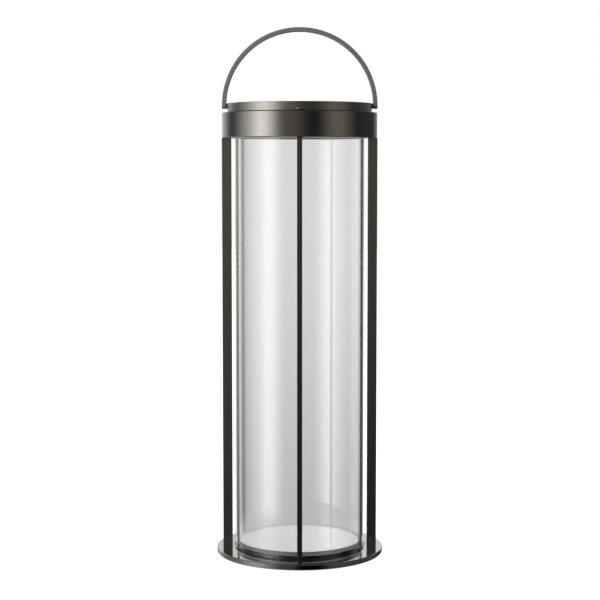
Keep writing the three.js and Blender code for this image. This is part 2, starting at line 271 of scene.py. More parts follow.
def bevelled_side(radius, bottom, top, lower, upper, edge):
    """Corners up an outer side that has a bevel of its own below and above."""
    return [
        (radius - lower, bottom, edge),
        (radius, bottom + lower, edge),
        (radius, top - upper, edge),
        (radius - upper, top, edge),
    ]


def square_ring(inner, outer, bottom, top, lower, upper):
    """Corners of a ring's section, with one rounding for its two lower edges and one for its upper."""
    return [(inner, bottom, lower), (outer, bottom, lower), (outer, top, upper), (inner, top, upper)]


def as_mesh(work, name):
    """Closes off bmesh work as a shaded mesh with its faces pointing out."""
    bmesh.ops.recalc_face_normals(work, faces=work.faces)
    mesh = bpy.data.meshes.new(name)
    work.to_mesh(mesh)
    work.free()
    shade(mesh)
    return mesh


def bevel(work, edges, size, steps):
    """Rounds the edges of bmesh work."""
    bmesh.ops.bevel(work, geom=edges, offset=size, segments=steps, profile=0.5, affect="EDGES")


def turned(name, outline, steps=RING_STEPS, relief=None):
    """A body turned about Z from (radius, height) points; an outline off the axis makes a ring.

    relief(angle, height), if given, says how far the surface sinks there, as in a thread.
    """
    work = bmesh.new()
    rings = []
    for radius, height in outline:
        if radius == 0:
            rings.append([work.verts.new((0, 0, height))])
            continue
        ring = []
        for step in range(steps):
            angle = step / steps * 4 * QUARTER
            at = radius - relief(angle, height) if relief else radius
            ring.append(work.verts.new((at * math.cos(angle), at * math.sin(angle), height)))
        rings.append(ring)
    for lower, upper in zip(rings, rings[1:] + rings[:1]):
        if len(lower) + len(upper) == 2:
            continue
        for step in range(steps):
            turn = [step, (step + 1) % steps]
            corners = [lower[at % len(lower)] for at in turn]
            corners += [upper[at % len(upper)] for at in reversed(turn)]
            work.faces.new(dict.fromkeys(corners))
    return as_mesh(work, name)


def rod(name, radius, bottom, top, steps=SMALL_STEPS):
    return turned(name, [(0, bottom), (radius, bottom), (radius, top), (0, top)], steps)


def place_object(name, data, matrix=None):
    piece = bpy.data.objects.new(name, data)
    piece.matrix_world = matrix or Matrix.Identity(4)
    bpy.context.scene.collection.objects.link(piece)
    return piece


def drill(piece, tools):
    """Cuts each (mesh, matrix) tool out of a piece."""
    for mesh, matrix in tools:
        tool = place_object("tool", mesh, matrix)
        bite = piece.modifiers.new("bite", "BOOLEAN")
        bite.operation = "DIFFERENCE"
        bite.solver = "EXACT"
        bite.object = tool
        bpy.context.view_layer.update()
        evaluated = piece.evaluated_get(bpy.context.evaluated_depsgraph_get())
        drilled = bpy.data.meshes.new_from_object(evaluated)
        piece.modifiers.clear()
        piece.data = drilled
        bpy.data.objects.remove(tool)
    shade(piece.data)


def finish_piece(piece, node, material):
    """Gives a piece its finish and its body, and hides the CAD node that it stands for."""
    piece.data.materials.clear()
    piece.data.materials.append(material)
    even_light = piece.modifiers.new("even_light", "WEIGHTED_NORMAL")
    even_light.keep_sharp = True
    even_light.weight = 100
    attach(piece, body_of(node))
    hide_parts(node)


def turned_piece(node, corners, material, holes=(), place=None, name=None):
    """Turns the piece of a node from the corners of its outline, drills its holes and finishes it.

    It stands on the lantern's axis, unless it is a small one with a place of its own.
    """
    mesh = turned(node, rounded(corners), SMALL_STEPS if place else RING_STEPS)
    piece = place_object(f"{name or node}_fine", mesh, place)
    if holes:
        drill(piece, holes)
    finish_piece(piece, node, material)


def settings_of(context):
    """The sizes and the finishes that the panel shows."""
    return context.scene.lantern_sizes, context.scene.lantern_finishes


# ---- finishes ----

LINE_SPACING = 0.7 * MM  # a 240 grit belt leaves lines 0.1 mm apart; drawn coarser so that they show
LINE_LENGTH = 40 * MM  # how far one brushed line runs
LINE_RELIEF = 0.0001 * MM  # depth of the brushed lines under the plating
MOTTLE_SPACING = 6 * MM  # faint cloudiness of the plating
BLAST_SPACING = 1.2 * MM  # bead blasting leaves dimples 0.1 mm apart; drawn coarser so that they show
BLAST_RELIEF = 0.001 * MM  # depth of those dimples
DRAW_SPACING = 30 * MM  # slow ripple that drawing leaves in a glass tube
GRAIN_SPACING = 0.5 * MM  # mould grain of rubber and plastic


def add_node(tree, kind, feeds=None, **settings):
    """Adds a node with its settings; feeds give its sockets a value or another node's output."""
    node = tree.nodes.new("ShaderNode" + kind)
    for name, value in settings.items():
        setattr(node, name, value)
    for socket, feed in (feeds or {}).items():
        if isinstance(feed, bpy.types.NodeSocket):
            tree.links.new(feed, node.inputs[socket])
        else:
            node.inputs[socket].default_value = feed
    return node.outputs


def material_from(name, dress, absorbs=None):
    """The material of that name; dress(add, place) gives its surface's values from the piece's place.

    add is add_node for the material's own tree, here and in the functions below. absorbs, if given, is
    the colour and density that light meets inside.
    """
    material = bpy.data.materials.get(name)
    if material is None:
        material = bpy.data.materials.new(name)
        material.use_nodes = True
        material.node_tree.nodes.clear()
        add = partial(add_node, material.node_tree)
        values = dress(add, add("TexCoord")["Object"])
        shaders = {"Surface": add("BsdfPrincipled", values)[0]}
        if absorbs:
            shaders["Volume"] = add("VolumeAbsorption", absorbs)[0]
        add("OutputMaterial", shaders)
    return material


def ramp(value, start, end, low, high):
    """The sockets of a range that goes from low to high as the value goes from start to end."""
    return {"Value": value, "From Min": start, "From Max": end, "To Min": low, "To Max": high}


def blotches(add, vector, spacing, low, high):
    """Noise with blotches that far apart in the vector's own unit, spread over a range."""
    values = {"Vector": vector, "Scale": 1 / spacing, "Detail": 2.0, "Roughness": 0.55}
    clouds = add("TexNoise", values)["Fac"]
    return add("MapRange", ramp(clouds, 0.3, 0.7, low, high))["Result"]


def rings_round(add, place):
    """Coordinates that run round the lantern's axis, squeezed so that blotches become long lines."""
    axes = add("SeparateXYZ", {"Vector": place})
    flat = add("CombineXYZ", {"X": axes["X"], "Y": axes["Y"]})[0]
    radius = add("VectorMath", {0: flat}, operation="LENGTH")["Value"]
    angle = add("Math", {0: axes["Y"], 1: axes["X"]}, operation="ARCTAN2")[0]
    arc = add("Math", {0: angle, 1: radius}, operation="MULTIPLY")[0]
    along = add("Math", {0: arc, 1: LINE_SPACING / LINE_LENGTH}, operation="MULTIPLY")[0]
    return add("CombineXYZ", {"X": radius, "Y": along, "Z": axes["Z"]})[0]


def lines_along(add, place):
    """Coordinates squeezed along Z, so that blotches become lines up and down."""
    return add("Mapping", {"Vector": place, "Scale": (1, 1, LINE_SPACING / LINE_LENGTH)})[0]


def satin_metal(
    name, colours, roughness, lines=None, spacing=LINE_SPACING, relief=LINE_RELIEF, second_on=None
):
    """Shared build of the metal finishes: fine lines or dimples over a faint mottle of the plating.

    lines(add, place) gives the coordinates that the brushing follows. second_on(add, place), if given,
    is near 1 on the faces that have the second colour, which is painted shade on the platform's side and
    painted light and shade on the uprights; otherwise the colours are mottled everywhere.
    """

    def dress(add, place):
        brushing = blotches(add, lines(add, place) if lines else place, spacing, 0, 1)
        tone = blotches(add, place, MOTTLE_SPACING, 0, 1)
        if second_on:
            tone = add("Math", {0: tone, 1: 0.1, 2: second_on(add, place)}, operation="MULTIPLY_ADD")[0]
        mottle = {"Factor": tone, "A": colours[0], "B": colours[1]}
        colour = add("Mix", mottle, data_type="RGBA")["Result"]
        gloss = add("MapRange", ramp(brushing, 0, 1, roughness * 0.92, roughness * 1.08))["Result"]
        bump = add("Bump", {"Height": brushing, "Distance": relief})[0]
        return {"Metallic": 1.0, "Base Color": colour, "Roughness": gloss, "Normal": bump}

    return material_from(name, dress)


def gunmetal_turned(finishes):
    """Gunmetal plated steel, brushed while it turned: a dark warm mirror with soft edges to its lights."""
    colours = (finishes.gunmetal, finishes.gunmetal_worn)
    return satin_metal("gunmetal_plated_steel_turned", colours, 0.2, rings_round)


def gunmetal_matt(finishes):
    """Gunmetal plated steel, brushed coarser round the collar: its dark parts look greyer."""
    colours = (finishes.gunmetal_matt, finishes.gunmetal_matt_worn)
    return satin_metal("gunmetal_plated_steel_matt", colours, 0.33, rings_round)


def gunmetal_tumbled(finishes):
    """Gunmetal plated studs, tumbled before plating: dull and even, with a wide highlight."""
    colours = (finishes.gunmetal_matt, finishes.gunmetal_matt_worn)
    name = "gunmetal_plated_steel_tumbled"
    return satin_metal(name, colours, 0.48, spacing=BLAST_SPACING, relief=BLAST_RELIEF)


def gunmetal_lapped(finishes):
    """Gunmetal plated steel, lapped flat before plating: the base shows the tube's foot like a mirror."""
    colours = (finishes.gunmetal, finishes.gunmetal_worn)
    name = "gunmetal_plated_steel_lapped"
    return satin_metal(name, colours, 0.1, rings_round, relief=LINE_RELIEF / 2)


def levelness(add):
    """1 on faces that lie level, 0 on those that stand upright."""
    normal = add("SeparateXYZ", {"Vector": add("NewGeometry")["Normal"]})
    return add("Math", {0: normal["Z"]}, operation="ABSOLUTE")[0]


def shaded_upright_faces(add, place):
    """Near 1 on the platform's upright side, which gets the painted shade."""
    return add("MapRange", ramp(levelness(add), 0.3, 0.8, 0.9, 0))["Result"]


def gunmetal_shade_sided(finishes):
    """The platform's finish: lapped on top, its upright side coloured near black as painted shade, so that
    it drops back behind the glass.
    """
    colours = (finishes.gunmetal, finishes.side_shade)
    name = "gunmetal_plated_steel_black_sided"
    return satin_metal(name, colours, 0.1, rings_round, relief=LINE_RELIEF / 2, second_on=shaded_upright_faces)


def lit_broad_faces(add, place):
    """Near 1 on the broad faces of the bars, which face along the rings and get the painted light; 0 on the
    narrow faces, which get the painted shade.
    """
    flat = add("VectorMath", {0: place, 1: (1, 1, 0)}, operation="MULTIPLY")[0]
    radial = add("VectorMath", {0: flat}, operation="NORMALIZE")[0]
    normal = add("NewGeometry")["Normal"]
    facing = add("VectorMath", {0: radial, 1: normal}, operation="DOT_PRODUCT")["Value"]
    turned_out = add("Math", {0: facing}, operation="ABSOLUTE")[0]
    return add("MapRange", ramp(turned_out, 0.5, 0.9, 0.9, 0))["Result"]


def gunmetal_brushed(finishes):
    """Gunmetal plated flat bar, brushed lengthwise, with painted light and shade: its broad faces are
    coloured lighter and its narrow faces darker.
    """
    colours = (finishes.gunmetal_narrow_shaded, finishes.gunmetal_broad_lit)
    name = "gunmetal_plated_steel_brushed"
    return satin_metal(name, colours, 0.22, lines_along, second_on=lit_broad_faces)


def gunmetal_blasted(finishes):
    """Gunmetal plated bar, bead blasted: an even grey sheen with no clear reflection."""
    colours = (finishes.bail_metal, finishes.bail_worn)
    name = "gunmetal_plated_steel_blasted"
    return satin_metal(name, colours, 0.45, spacing=BLAST_SPACING, relief=BLAST_RELIEF)


def blackened_steel(finishes):
    """Blackened machine screws: oily dark gloss, slightly uneven."""
    colours = (finishes.screw, finishes.gunmetal)
    return satin_metal("blackened_steel", colours, 0.32, spacing=GRAIN_SPACING, relief=BLAST_RELIEF)


def drawn_glass(finishes):
    """Drawn borosilicate tube: clear, with a slow ripple up its length that drawing leaves."""

    def dress(add, place):
        long_way = add("Mapping", {"Vector": place, "Scale": (1, 1, 0.1)})[0]
        ripple = blotches(add, long_way, DRAW_SPACING, 0, 1)
        bump = add("Bump", {"Height": ripple, "Distance": 0.001 * MM})[0]
        return {
            "Base Color": finishes.tube_glass,
            "Roughness": 0,
            "IOR": 1.47,
            "Transmission Weight": 1,
            "Normal": bump,
        }

    return material_from("drawn_borosilicate_glass", dress)


def float_glass(finishes):
    """Float glass with a ground edge: clear through its faces, frosted and green round its edge."""

    def dress(add, place):
        face = add("MapRange", ramp(levelness(add), 0.8, 0.98, 0, 1))["Result"]
        frost = blotches(add, place, GRAIN_SPACING, 0.38, 0.5)
        colours = {"A": finishes.plate_edge_glass, "B": finishes.plate_glass}
        colour = add("Mix", {"Factor": face, **colours}, data_type="RGBA")["Result"]
        gloss = add("Mix", {"Factor": face, "A": frost, "B": 0.0}, data_type="FLOAT")["Result"]
        clear = add("MapRange", ramp(face, 0, 1, 0.55, 1))["Result"]
        return {"Base Color": colour, "Roughness": gloss, "IOR": 1.52, "Transmission Weight": clear}

    absorbs = {"Color": finishes.plate_green, "Density": 6.0}
    return material_from("float_glass_ground_edge", dress, absorbs)


def clear_silicone(finishes):
    """Clear moulded silicone bumper: you see the metal below through it, a little softened."""

    def dress(add, place):
        gloss = blotches(add, place, GRAIN_SPACING, 0, 0.02)
        return {"Base Color": finishes.pad, "Roughness": gloss, "IOR": 1.41, "Transmission Weight": 1}

    return material_from("clear_moulded_silicone", dress)


def moulded(name, colour, roughness, spacing, depth):
    """Shared build of the soft finishes: an even colour with a fine grain from the mould."""

    def dress(add, place):
        grain = blotches(add, place, spacing, 0, 1)
        gloss = add("MapRange", ramp(grain, 0, 1, roughness * 0.85, roughness * 1.15))["Result"]
        bump = add("Bump", {"Height": grain, "Distance": depth})[0]
        return {"Base Color": colour, "Roughness": gloss, "Normal": bump}

    return material_from(name, dress)


def moulded_silicone(finishes):
    """Moulded smoke silicone: dark and smooth, with a clear highlight."""
    return moulded("moulded_smoke_silicone", finishes.silicone, 0.22, 3 * MM, 0.002 * MM)


def pale_silicone(finishes):
    """Moulded natural silicone: milky grey and smooth, so that it hardly shows against the glass."""
    return moulded("moulded_natural_silicone", finishes.pale_silicone, 0.3, 3 * MM, 0.002 * MM)


def moulded_rubber(finishes):
    """Moulded rubber: black and matt with a fine grain."""
    return moulded("moulded_rubber", finishes.rubber, 0.75, GRAIN_SPACING, 0.03 * MM)


def turned_nylon(finishes):
    """Turned nylon: black with a dull tool finish."""
    return moulded("turned_nylon", finishes.nylon, 0.45, GRAIN_SPACING, 0.01 * MM)


def painted_floor(finishes, glow):
    """Painted studio floor: pale, matt and lit to white."""

    def dress(add, place):
        wear = blotches(add, place, 30 * MM, 0, 1)
        colours = {"A": finishes.floor, "B": finishes.floor_worn}
        colour = add("Mix", {"Factor": wear, **colours}, data_type="RGBA")["Result"]
        return {
            "Base Color": colour,
            "Roughness": 0.9,
            "Emission Color": colour,
            "Emission Strength": glow,
        }

    return material_from("painted_floor", dress)


# ---- screws ----

HEAD_TO_SHANK = 1.9  # a countersunk head is this many times as wide as its shank
THREAD_ROWS = 6  # rings of points in each turn of a thread
TIP_TAPER = 0.85  # a screw's tip is this part of its radius
SCREW_GAP = 0.15 * MM  # round a screw in its hole


def threaded(radius, start, end, tip):
    """The outline of a screw's shank from its thread's start to its tip, and the thread's relief."""
    pitch = radius / 3
    rows = int((tip - start) / pitch * THREAD_ROWS)
    outline = [(radius, start + (end - start) * row / rows) for row in range(1, rows)]
    outline += [(radius * TIP_TAPER, tip), (0, tip)]

    def sunk(angle, height):
        if not start < height < end:
            return 0
        fade = min(1, (height - start) / pitch, (end - height) / pitch)
        phase = (height / pitch - angle / (4 * QUARTER)) % 1
        return pitch / 2 * fade * abs(2 * phase - 1)

    return outline, sunk


def countersunk_screw(head, size):
    """A countersunk socket screw, head down at z = 0, from its head's radius and its length."""
    radius = head / HEAD_TO_SHANK
    cone = head - radius
    edge = 0.08 * MM
    outline = rounded([(0, 0, 0), (head, 0, edge), (head, 2 * edge, edge), (radius, cone, 0)])
    shank, relief = threaded(radius, cone, size - edge, size)
    return turned("countersunk_screw", outline + shank, SMALL_STEPS, relief)


def screw_piece(node, mesh, shank, head_face, place, material):
    """Finishes a screw's mesh as its node's piece, with the hole for a hexagon key in its head."""
    screw = place_object(f"{node}_fine", mesh)
    socket = rod("socket", shank * 0.77, -MM, shank * 0.7, 6)
    drill(screw, [(socket, Matrix.Translation((0, 0, head_face)))])
    screw.matrix_world = place
    finish_piece(screw, node, material)


def screw_hole(head, size):
    """The hole for one such screw, open below its head."""
    wide = head + SCREW_GAP
    shank = head / HEAD_TO_SHANK
    narrow = shank + SCREW_GAP
    end = size + SCREW_GAP
    outline = [(0, -MM), (wide, -MM), (wide, 0), (narrow, head - shank), (narrow, end), (0, end)]
    return turned("screw_hole", outline, SMALL_STEPS)


def screw_place(node, head_up=False):
    """The matrix that puts a screw made head down at z = 0 into its node's place."""
    if not head_up:
        return standing(node)
    high_end = Matrix.Translation((*middle(node).xy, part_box(node)[1].z))
    return high_end @ Matrix.Rotation(2 * QUARTER, 4, "X")


def screw_holes(stem, head_up=False):
    """(mesh, matrix) tools for the holes of the screws whose nodes start with the stem."""
    return [(screw_hole(*radius_and_height(node)), screw_place(node, head_up)) for node in numbered(stem)]


SCREW_STEMS = {
    "post_foot_screw": False,
    "post_head_screw": True,
    "collar_screw": False,
    "platform_screw": False,
}


class LANTERN_OT_screws(bpy.types.Operator):
    """Make the countersunk screws of the uprights, collar and platform"""

    bl_idname = "lantern.screws"
    bl_label = "Screws"

    def execute(self, context):
        finish = blackened_steel(context.scene.lantern_finishes)
        for stem, head_up in SCREW_STEMS.items():
            for node in numbered(stem):
                head, size = radius_and_height(node)
                mesh = countersunk_screw(head, size)
                screw_piece(node, mesh, head / HEAD_TO_SHANK, 0, screw_place(node, head_up), finish)
        return {"FINISHED"}


# ---- base and platform ----


class LANTERN_OT_base(bpy.types.Operator):
    """Make the turned base plate with its groove for the glass tube"""

    bl_idname = "lantern.base"
    bl_label = "Base plate"

    def execute(self, context):
        sizes, finishes = settings_of(context)
        edge = sizes.turned_edge
        bottom, top = levels("base_plate")
        bevels = (sizes.base_lower_chamfer, sizes.base_top_chamfer)
        groove_floor = levels("foot_seal")[0]
        groove_outer = reach("foot_seal") + sizes.groove_margin
        groove_inner = reach("candle_platform") + sizes.fit_gap
        corners = [
            (0, bottom, 0),
            *bevelled_side(reach("base_plate"), bottom, top, *bevels, edge),
            (groove_outer, top, edge),
            (groove_outer, groove_floor, edge / 2),
            (groove_inner, groove_floor, edge / 2),
            (groove_inner, top, edge / 2),
            (0, top, 0),
        ]
        holes = screw_holes("post_foot_screw") + screw_holes("platform_screw")
        turned_piece("base_plate", corners, gunmetal_lapped(finishes), holes)
        return {"FINISHED"}


class LANTERN_OT_platform(bpy.types.Operator):
    """Make the raised disc that the candle's glass plate lies on"""

    bl_idname = "lantern.platform"
    bl_label = "Candle platform"

    def execute(self, context):
        sizes, finishes = settings_of(context)
        edge, chamfer = sizes.turned_edge, sizes.base_top_chamfer
        radius = reach("candle_platform")
        bottom, top = levels("candle_platform")
        corners = [
            (0, bottom, 0),
            (radius, bottom, 0),
            (radius, top - chamfer, edge),
            (radius - chamfer, top, edge),
            (0, top, 0),
        ]
        # the platform's upright side is coloured near black as painted shade
        finish = gunmetal_shade_sided(finishes)
        turned_piece("candle_platform", corners, finish, screw_holes("platform_screw"))
        return {"FINISHED"}


class LANTERN_OT_feet(bpy.types.Operator):
    """Make the four rubber feet"""

    bl_idname = "lantern.feet"
    bl_label = "Feet"

    def execute(self, context):
        finish = moulded_rubber(context.scene.lantern_finishes)
        for node in numbered("foot_"):
            if node == "foot_seal":
                continue
            radius, height = radius_and_height(node)
            hollow, sole = radius * 0.55, radius * 0.7
            dish = height / 4
            corners = [
                (0, dish, 0),
                (hollow, dish, dish / 2),
                (sole, 0, dish / 2),
                (radius - height / 2, 0, height / 3),
                (radius, height / 2, height / 4),
                (radius, height, 0),
                (0, height, 0),
            ]
            turned_piece(node, corners, finish, place=standing(node))
        return {"FINISHED"}


# ---- glass and its seals ----


class LANTERN_OT_tube(bpy.types.Operator):
    """Make the clear glass tube with its fire-polished rims"""

    bl_idname = "lantern.tube"
    bl_label = "Glass tube"

    def execute(self, context):
        sizes, finishes = settings_of(context)
        outer = reach("glass_cylinder")
        rim = sizes.tube_wall * 0.45  # the flame rounds almost the whole wall
        corners = square_ring(outer - sizes.tube_wall, outer, *levels("glass_cylinder"), rim, rim)
        finish = drawn_glass(finishes)
        turned_piece("glass_cylinder", corners, finish, name="glass_tube")
        return {"FINISHED"}


class LANTERN_OT_glass_plate(bpy.types.Operator):
    """Make the round glass plate and the clear pads under it"""

    bl_idname = "lantern.glass_plate"
    bl_label = "Glass plate"

    def execute(self, context):
        sizes, finishes = settings_of(context)
        bottom, top = levels("glass_plate")
        bevel_size = sizes.plate_edge
        side = bevelled_side(reach("glass_plate"), bottom, top, bevel_size, bevel_size, bevel_size / 4)
        corners = [(0, bottom, 0), *side, (0, top, 0)]
        turned_piece("glass_plate", corners, float_glass(finishes))

        finish = clear_silicone(finishes)
        for node in numbered("plate_pad_"):
            radius, room = radius_and_height(node)
            height = room * 0.95  # clear of the plate's underside
            bulge = height * 0.45
            corners = [
                (0, 0, 0),
                (radius, 0, 0),
                (radius, height - bulge, 0),
                (radius - bulge, height, bulge),
                (0, height, 0),
            ]
            turned_piece(node, corners, finish, place=standing(node))
        return {"FINISHED"}


class LANTERN_OT_seals(bpy.types.Operator):
    """Make the seal under the tube's foot and the guide seal round its top"""

    bl_idname = "lantern.seals"
    bl_label = "Seals"

    def execute(self, context):
        sizes, finishes = settings_of(context)
        tube = reach("glass_cylinder")

        inner = tube - sizes.tube_wall - sizes.fit_gap
        bottom, top = levels("foot_seal")
        corners = square_ring(inner, reach("foot_seal"), bottom, top, 0, (top - bottom) * 0.3)
        turned_piece("foot_seal", corners, moulded_silicone(finishes))

        lip = reach("guide_seal")
        skirt = lip - sizes.seal_lip
        bore = tube + sizes.fit_gap * 4 / 3
        bottom, top = levels("guide_seal")
        lip_bottom = top - sizes.seal_lip_height
        soft = sizes.turned_edge
        corners = [
            (bore, bottom, soft),
            (skirt, bottom, soft),
            (skirt, lip_bottom, 0),
            (lip, lip_bottom, 0),
            (lip, top, soft),
            (bore, top, soft),
        ]
        turned_piece("guide_seal", corners, pale_silicone(finishes))
        return {"FINISHED"}


# ---- uprights, band and collar ----


class LANTERN_OT_uprights(bpy.types.Operator):
    """Make the four flat bars between the base and the top band"""

    bl_idname = "lantern.uprights"
    bl_label = "Uprights"

    def execute(self, context):
        sizes, finishes = settings_of(context)
        # the bars' broad faces get painted light and their narrow faces painted shade
        finish = gunmetal_brushed(finishes)
        for side in SIDES:
            node = f"post_{side}"
            low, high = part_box(node)
            work = bmesh.new()
            scale = Matrix.Diagonal((*(high - low), 1))
            bmesh.ops.create_cube(work, size=1, matrix=Matrix.Translation(middle(node)) @ scale)
            long_edges = [e for e in work.edges if e.calc_length() > (high.z - low.z) / 2]
            bevel(work, long_edges, sizes.upright_edge, ROUND_STEPS)
            bar = place_object(f"{node}_fine", as_mesh(work, "upright"))
            foot_hole = screw_holes(f"post_foot_screw_{side}")
            drill(bar, foot_hole + screw_holes(f"post_head_screw_{side}", head_up=True))
            finish_piece(bar, node, finish)
        return {"FINISHED"}


class LANTERN_OT_band(bpy.types.Operator):
    """Make the top band with the flange at its foot"""

    bl_idname = "lantern.band"
    bl_label = "Top band"

    def execute(self, context):
        sizes, finishes = settings_of(context)
        edge = sizes.turned_edge
        radius = reach("top_band")
        bottom, top = levels("top_band")
        bevels = (sizes.band_lower_chamfer, sizes.band_top_chamfer)
        bore = radius - sizes.band_wall
        flange_top = levels("collar")[0] - sizes.fit_gap
        flange_bore = reach("guide_seal") - sizes.seal_lip + sizes.fit_gap
        corners = [
            (flange_bore, bottom, edge),
            *bevelled_side(radius, bottom, top, *bevels, edge),
            (bore, top, edge),
            (bore, flange_top, edge),
            (flange_bore, flange_top, edge),
        ]
        holes = screw_holes("collar_screw") + screw_holes("post_head_screw", head_up=True)
        turned_piece("top_band", corners, gunmetal_turned(finishes), holes)
        return {"FINISHED"}


class LANTERN_OT_collar(bpy.types.Operator):
    """Make the collar that stands above the band and carries the bail"""

    bl_idname = "lantern.collar"
    bl_label = "Collar"

    def execute(self, context):
        sizes, finishes = settings_of(context)
        edge = sizes.turned_edge
        foot_radius = reach("collar")
        radius = foot_radius - sizes.collar_step
        bore = radius - sizes.collar_wall
        bottom, top = levels("collar")
        step = levels("top_band")[1]
        corners = [
            (bore, bottom, edge),
            (foot_radius, bottom, edge),
            (foot_radius, step, edge),
            (radius - sizes.collar_groove_depth, step, 0),
            (radius, step + sizes.collar_groove_height, edge / 4),
            (radius, top, edge * 1.5),
            (bore, top, edge * 1.5),
        ]
        holes = screw_holes("collar_screw")
        pivot_hole = rod("pivot_hole", sizes.pivot_shoulder + SCREW_GAP, bore - MM, radius + MM)
        stud_hole = rod("stud_hole", sizes.stud_shank + SCREW_GAP, bore - MM, radius + MM)
        for side in ("left", "right"):
            holes.append((pivot_hole, outwards(side, f"pivot_screw_{side}")))
        for side in ("front", "back"):
            holes.append((stud_hole, outwards(side, f"rest_stud_{side}")))
        turned_piece("collar", corners, gunmetal_matt(finishes), holes)
        return {"FINISHED"}


# ---- bail, pivots and rest studs ----


def bail_mesh(outer, inner, half_width, pivot_height, edge):
    """A half-round arch of square bar whose arms end in half-rounds about the pivot."""
    work = bmesh.new()
    section = [(outer, -half_width), (outer, half_width), (inner, half_width), (inner, -half_width)]
    rows = []
    for step in range(ARCH_STEPS + 1):
        angle = step / ARCH_STEPS * 2 * QUARTER
        row = []
        for radius, y in section:
            across, up = radius * math.cos(angle), radius * math.sin(angle)
            row.append(work.verts.new((across, y, pivot_height + up)))
        rows.append(row)
    for here, there in zip(rows, rows[1:]):
        for corner in range(4):
            beside = (corner + 1) % 4
            work.faces.new((here[corner], there[corner], there[beside], here[beside]))

    steps = SMALL_STEPS // 2
    for row, side in ((rows[0], 1), (rows[-1], -1)):
        rims = []
        for radius, first, last in ((outer, row[0], row[1]), (inner, row[3], row[2])):
            rim = [first]
            for step in range(1, steps):
                angle = step / steps * 2 * QUARTER
                y, drop = -half_width * math.cos(angle), half_width * math.sin(angle)
                rim.append(work.verts.new((side * radius, y, pivot_height - drop)))
            rim.append(last)
            work.faces.new(rim)
            rims.append(rim)
        for step in range(steps):
            work.faces.new((rims[0][step], rims[0][step + 1], rims[1][step + 1], rims[1][step]))

    bmesh.ops.recalc_face_normals(work, faces=work.faces)
    sharp = [e for e in work.edges if e.calc_face_angle(0) > SMOOTH_LIMIT]
    bevel(work, sharp, edge, 3)
    return as_mesh(work, "bail")


class LANTERN_OT_bail(bpy.types.Operator):
    """Make the folding bail handle"""

    bl_idname = "lantern.bail"
    bl_label = "Bail"

    def execute(self, context):
        sizes, finishes = settings_of(context)
        low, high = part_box("handle")
        pivot = middle("pivot_screw_left").z
        inner = high.x - sizes.bail_thickness
        mesh = bail_mesh(high.x, inner, (high.y - low.y) / 2, pivot, sizes.bail_edge)
        bail = place_object("bail_fine", mesh)
        hole_end = reach("pivot_screw_right") + SCREW_GAP
        hole = rod("thread_hole", sizes.pivot_thread, inner - MM, hole_end)
        drill(bail, [(hole, outwards(side, f"pivot_screw_{side}")) for side in ("left", "right")])
        finish_piece(bail, "handle", gunmetal_blasted(finishes))
        return {"FINISHED"}


class LANTERN_OT_pivots(bpy.types.Operator):
    """Make the shoulder screws that the bail turns on and their washers"""

    bl_idname = "lantern.pivots"
    bl_label = "Pivots"

    def execute(self, context):
        sizes, finishes = settings_of(context)
        steel, nylon = blackened_steel(finishes), turned_nylon(finishes)
        washer_low, washer_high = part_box("pivot_washer_right")
        screw_low, screw_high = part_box("pivot_screw_right")
        start, tip, shoulder_end = screw_low.x, screw_high.x, washer_high.x
        head_radius = (screw_high.z - screw_low.z) / 2
        head_end = start + sizes.pivot_head_height
        edge = 0.1 * MM
        head = [
            (0, start, 0),
            (head_radius, start, edge * 3),
            (head_radius, head_end, edge),
            (sizes.pivot_shoulder, head_end, 0),
            (sizes.pivot_shoulder, shoulder_end, edge),
            (sizes.pivot_thread, shoulder_end, 0),
        ]
        shank, relief = threaded(sizes.pivot_thread, shoulder_end, tip, tip)
        screw = turned("pivot_screw", rounded(head) + shank, SMALL_STEPS, relief)
        bore = sizes.pivot_shoulder + SCREW_GAP
        washer_radius = (washer_high.z - washer_low.z) / 2
        soft = edge * 1.5
        washer = square_ring(bore, washer_radius, washer_low.x, washer_high.x, soft, soft)
        for side in ("left", "right"):
            place = outwards(side, f"pivot_screw_{side}")
            screw_piece(f"pivot_screw_{side}", screw, sizes.pivot_shoulder, start, place, steel)
            turned_piece(f"pivot_washer_{side}", washer, nylon, place=place)
        return {"FINISHED"}


class LANTERN_OT_rest_studs(bpy.types.Operator):
    """Make the oval studs that the folded bail lies on"""

    bl_idname = "lantern.rest_studs"
    bl_label = "Rest studs"

    def execute(self, context):
        sizes, finishes = settings_of(context)
        finish = gunmetal_tumbled(finishes)
        seat = reach("collar") - sizes.collar_step
        for side in ("front", "back"):
            node = f"rest_stud_{side}"
            low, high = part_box(node)
            tip = max(abs(low.y), abs(high.y))
            tail = min(abs(low.y), abs(high.y))
            half_width, half_height = (high.x - low.x) / 2, (high.z - low.z) / 2
            dome_foot = seat + (tip - seat) * 0.06
            shank = sizes.stud_shank / half_width
            outline = [(0, tail), (shank, tail), (shank, seat), (0.97, seat)]
            for step in range(SMALL_STEPS // 4):
                angle = step / (SMALL_STEPS // 4) * QUARTER
                flare = 1 - (1 - math.cos(angle)) ** 0.9
                outline.append((flare, dome_foot + (tip - dome_foot) * math.sin(angle)))
            outline.append((0, tip))
            mesh = turned("rest_stud", outline, SMALL_STEPS)
            mesh.transform(Matrix.Diagonal((half_height, half_width, 1, 1)))
            stud = place_object(f"{node}_fine", mesh, outwards(side, node))
            finish_piece(stud, node, finish)
        return {"FINISHED"}


# ---- studio ----


WALL_FOOT = (-17, 2)  # degrees above the horizon, from the table's back to the open wall


class Light(NamedTuple):
    """A soft upright light round the studio, by its bearing from the front and towards the right."""

    bearing: float  # degrees, of its middle
    flat: float  # degrees to each side at full strength
    fade_left: float  # degrees more until it is gone, on the side of lower bearings
    fade_right: float  # and on the other side
    strength: float
    low: float  # strength near the table
    rise: tuple = WALL_FOOT  # degrees, from where it is low to where it is at full strength
    colour: str = "#ffffff"


